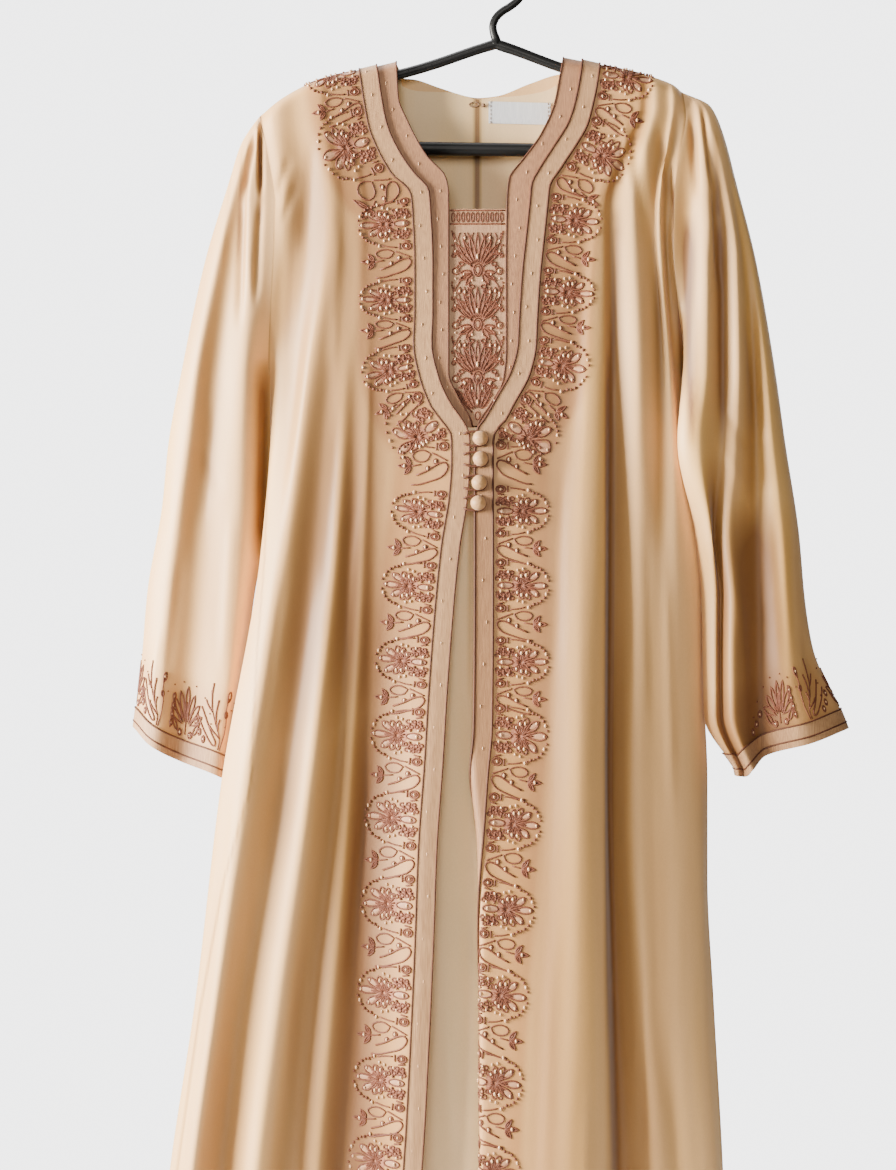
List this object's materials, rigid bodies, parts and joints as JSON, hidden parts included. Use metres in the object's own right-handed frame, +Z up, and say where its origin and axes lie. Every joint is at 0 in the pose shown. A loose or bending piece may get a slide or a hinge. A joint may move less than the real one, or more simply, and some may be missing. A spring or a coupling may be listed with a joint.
{
  "type": "moroccan kaftan on a hanger",
  "caption": "Two-layer long kaftan with embroidered open robe over a plain inner dress, hung on a plastic hanger.",
  "frame": {"origin": "the inside top of the hanger's hook, where it hangs on a rail", "axes": "+Z up, +X to the wearer's left (the viewer's right from the front), -Y to the front"},
  "size_m": [0.6916, 0.1584, 1.5233],
  "materials": {
    "crepe": "soft satin crepe",
    "dress_crepe": "soft satin crepe",
    "trim": "woven band",
    "label": "blank satin tape",
    "thread": "silky cord",
    "plastic": "moulded black plastic"
  },
  "bodies": {
    "root": {"robe_front_right": "crepe", "robe_front_left": "crepe", "robe_back": "crepe", "sleeve_right": "crepe", "sleeve_left": "crepe", "dress_front": "dress_crepe", "dress_back_right": "dress_crepe", "dress_back_left": "dress_crepe", "front_band_right": "trim", "front_band_left": "trim", "back_neck_band": "trim", "cuff_band_right": "trim", "cuff_band_left": "trim", "neck_band_right": "trim", "neck_band_left": "trim", "plastron": "trim", "button_1": "trim", "button_2": "trim", "button_3": "trim", "button_4": "trim", "neck_label": "label", "neck_button": "thread", "neck_loop": "thread", "loop_1": "thread", "loop_2": "thread", "loop_3": "thread", "loop_4": "thread", "hanger": "plastic"}
  },
  "joints": []
}
